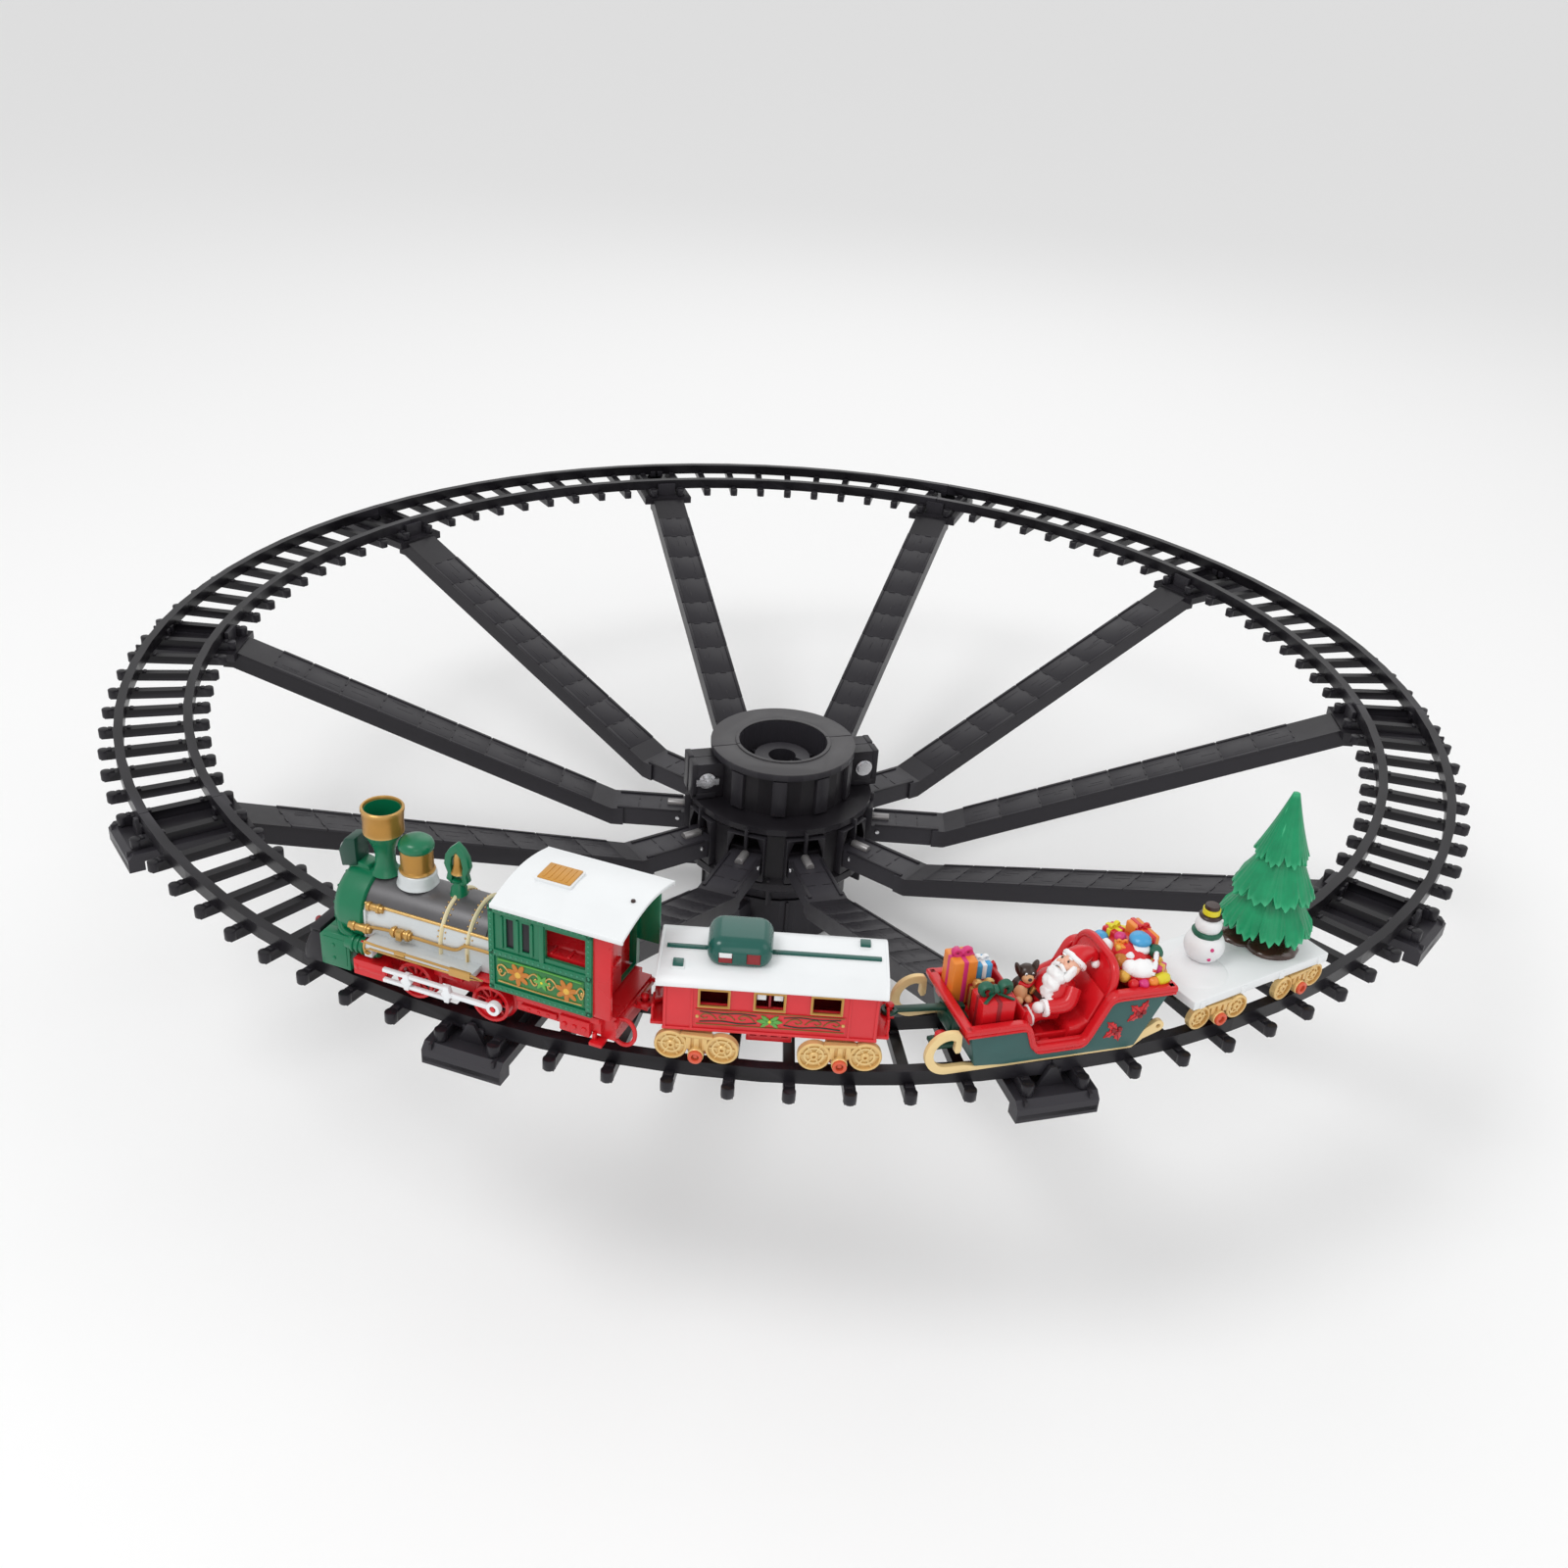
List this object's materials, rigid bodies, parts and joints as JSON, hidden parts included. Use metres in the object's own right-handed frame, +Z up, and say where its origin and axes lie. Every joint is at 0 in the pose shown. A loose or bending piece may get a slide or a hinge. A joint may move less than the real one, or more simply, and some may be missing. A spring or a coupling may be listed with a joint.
{
  "type": "electric train set",
  "caption": "Toy holiday train on a raised ring track, carried by sloping arms on a split hub that clamps round a pole or a tree's trunk.",
  "frame": {"origin": "centre of the trunk clamp's bore, at the lower clamp ring's lower face", "axes": "+Z up along the pole; -Y towards the side where the train stands; the train runs clockwise seen from above"},
  "size_m": [0.824, 0.8152, 0.275],
  "materials": {
    "black_plastic": "satin black injection moulding",
    "green_plastic": "satin green",
    "red_plastic": "gloss red",
    "white_plastic": "satin white",
    "gold_plastic": "gold-coloured plastic",
    "silver_plastic": "silver-grey with a white lower half",
    "brown_plastic": "gloss dark brown",
    "leaf_plastic": "moulded leaf green",
    "steel": "zinc-plated steel"
  },
  "bodies": {
    "ring_frame": {"hub_front_half": "black_plastic", "hub_rear_half": "black_plastic", "lower_clamp_ring": "black_plastic", "pole_sleeve": "black_plastic", "hub_bolt_right": "steel", "hub_bolt_left": "steel", "arm_01": "black_plastic", "arm_02": "black_plastic", "arm_03": "black_plastic", "arm_04": "black_plastic", "arm_05": "black_plastic", "arm_06": "black_plastic", "arm_07": "black_plastic", "arm_08": "black_plastic", "arm_09": "black_plastic", "arm_10": "black_plastic", "track_1": "black_plastic", "track_2": "black_plastic", "track_3": "black_plastic", "track_4": "black_plastic", "track_5": "black_plastic"},
    "locomotive": {"loco_chassis": "red_plastic", "loco_front": "green_plastic", "cowcatcher": "black_plastic", "boiler": "silver_plastic", "chimney": "green_plastic", "steam_dome": "gold_plastic", "bell": "gold_plastic", "cab": "green_plastic", "cab_roof": "white_plastic", "motor": "steel", "battery_cell": "gold_plastic"},
    "power_switch": {"power_switch": "black_plastic"},
    "loco_front_wheels": {"loco_front_axle": "red_plastic"},
    "loco_drive_wheels": {"loco_drive_axle": "red_plastic"},
    "side_rod_outer": {"side_rod_outer": "white_plastic"},
    "side_rod_inner": {"side_rod_inner": "white_plastic"},
    "coach": {"coach_body": "red_plastic", "coach_roof": "white_plastic", "coach_cupola": "green_plastic"},
    "sleigh": {"sleigh_tub": "green_plastic", "sleigh_rim": "red_plastic", "sleigh_runners": "gold_plastic", "father_christmas": "red_plastic", "gift_boxes": "red_plastic", "gift_sack": "white_plastic"},
    "sleigh_wheels_front": {"sleigh_axle_front": "black_plastic"},
    "sleigh_wheels_rear": {"sleigh_axle_rear": "black_plastic"},
    "flatcar": {"flatcar_deck": "white_plastic", "snowman": "white_plastic", "tree_mound": "brown_plastic", "tree": "leaf_plastic"},
    "coach_bogie_front": {"coach_bogie_front": "gold_plastic"},
    "coach_wheels_front": {"coach_axle_front": "red_plastic"},
    "coach_bogie_rear": {"coach_bogie_rear": "gold_plastic"},
    "coach_wheels_rear": {"coach_axle_rear": "red_plastic"},
    "flatcar_bogie_front": {"flatcar_bogie_front": "gold_plastic"},
    "flatcar_wheels_front": {"flatcar_axle_front": "red_plastic"},
    "flatcar_bogie_rear": {"flatcar_bogie_rear": "gold_plastic"},
    "flatcar_wheels_rear": {"flatcar_axle_rear": "red_plastic"}
  },
  "joints": [
    {"name": "loco_orbit", "type": "hinge", "parent": "ring_frame", "child": "locomotive", "pos_m": [0, 0, 0], "axis": [0, 0, 1], "continuous": true},
    {"name": "coach_orbit", "type": "hinge", "parent": "ring_frame", "child": "coach", "pos_m": [0, 0, 0], "axis": [0, 0, 1], "continuous": true},
    {"name": "sleigh_orbit", "type": "hinge", "parent": "ring_frame", "child": "sleigh", "pos_m": [0, 0, 0], "axis": [0, 0, 1], "continuous": true},
    {"name": "flatcar_orbit", "type": "hinge", "parent": "ring_frame", "child": "flatcar", "pos_m": [0, 0, 0], "axis": [0, 0, 1], "continuous": true},
    {"name": "loco_front_axle_spin", "type": "hinge", "parent": "locomotive", "child": "loco_front_wheels", "pos_m": [-0.1438, -0.35066, 0.1903], "axis": [-0.3338, -0.9426, 0], "continuous": true},
    {"name": "loco_drive_axle_spin", "type": "hinge", "parent": "locomotive", "child": "loco_drive_wheels", "pos_m": [-0.10892, -0.36301, 0.1903], "axis": [-0.3338, -0.9426, 0], "continuous": true},
    {"name": "side_rod_outer_pin", "type": "hinge", "parent": "loco_drive_wheels", "child": "side_rod_outer", "pos_m": [-0.11314, -0.38719, 0.1922], "axis": [-0.3338, -0.9426, 0], "continuous": true},
    {"name": "side_rod_inner_pin", "type": "hinge", "parent": "loco_drive_wheels", "child": "side_rod_inner", "pos_m": [-0.09698, -0.34157, 0.1922], "axis": [-0.3338, -0.9426, 0], "continuous": true},
    {"name": "power_switch_slide", "type": "slide", "parent": "locomotive", "child": "power_switch", "axis": [-0.9426, 0.3338, 0], "range_m": [0, 0.006]},
    {"name": "coach_bogie_front_swivel", "type": "hinge", "parent": "coach", "child": "coach_bogie_front", "pos_m": [-0.02556, -0.37814, 0.181], "axis": [0, 0, 1], "range_deg": [-5, 5]},
    {"name": "coach_axle_front_spin", "type": "hinge", "parent": "coach_bogie_front", "child": "coach_wheels_front", "pos_m": [-0.02556, -0.37814, 0.18535], "axis": [-0.0674, -0.9977, 0], "continuous": true},
    {"name": "coach_bogie_rear_swivel", "type": "hinge", "parent": "coach", "child": "coach_bogie_rear", "pos_m": [0.03084, -0.37774, 0.181], "axis": [0, 0, 1], "range_deg": [-5, 5]},
    {"name": "coach_axle_rear_spin", "type": "hinge", "parent": "coach_bogie_rear", "child": "coach_wheels_rear", "pos_m": [0.03084, -0.37774, 0.18535], "axis": [0.0814, -0.9967, 0], "continuous": true},
    {"name": "flatcar_bogie_front_swivel", "type": "hinge", "parent": "flatcar", "child": "flatcar_bogie_front", "pos_m": [0.18932, -0.32832, 0.181], "axis": [0, 0, 1], "range_deg": [-5, 5]},
    {"name": "flatcar_axle_front_spin", "type": "hinge", "parent": "flatcar_bogie_front", "child": "flatcar_wheels_front", "pos_m": [0.18932, -0.32832, 0.18535], "axis": [0.4995, -0.8663, 0], "continuous": true},
    {"name": "flatcar_bogie_rear_swivel", "type": "hinge", "parent": "flatcar", "child": "flatcar_bogie_rear", "pos_m": [0.2293, -0.30176, 0.181], "axis": [0, 0, 1], "range_deg": [-5, 5]},
    {"name": "flatcar_axle_rear_spin", "type": "hinge", "parent": "flatcar_bogie_rear", "child": "flatcar_wheels_rear", "pos_m": [0.2293, -0.30176, 0.18535], "axis": [0.605, -0.7962, 0], "continuous": true},
    {"name": "sleigh_axle_front_spin", "type": "hinge", "parent": "sleigh", "child": "sleigh_wheels_front", "pos_m": [0.09983, -0.36562, 0.18535], "axis": [0.319, -0.9478, 0], "continuous": true},
    {"name": "sleigh_axle_rear_spin", "type": "hinge", "parent": "sleigh", "child": "sleigh_wheels_rear", "pos_m": [0.14153, -0.35158, 0.18535], "axis": [0.319, -0.9478, 0], "continuous": true}
  ],
  "couplings": [
    {"joint": "coach_orbit", "follows": "loco_orbit", "ratio": 1},
    {"joint": "sleigh_orbit", "follows": "loco_orbit", "ratio": 1},
    {"joint": "flatcar_orbit", "follows": "loco_orbit", "ratio": 1},
    {"joint": "loco_front_axle_spin", "follows": "loco_orbit", "ratio": -42.111},
    {"joint": "loco_drive_axle_spin", "follows": "loco_orbit", "ratio": -42.111},
    {"joint": "side_rod_outer_pin", "follows": "loco_orbit", "ratio": 42.111},
    {"joint": "side_rod_inner_pin", "follows": "loco_orbit", "ratio": 42.111},
    {"joint": "coach_axle_front_spin", "follows": "loco_orbit", "ratio": -88.139},
    {"joint": "coach_axle_rear_spin", "follows": "loco_orbit", "ratio": -88.139},
    {"joint": "flatcar_axle_front_spin", "follows": "loco_orbit", "ratio": -88.139},
    {"joint": "flatcar_axle_rear_spin", "follows": "loco_orbit", "ratio": -88.139},
    {"joint": "sleigh_axle_front_spin", "follows": "loco_orbit", "ratio": -88.139},
    {"joint": "sleigh_axle_rear_spin", "follows": "loco_orbit", "ratio": -88.139}
  ]
}
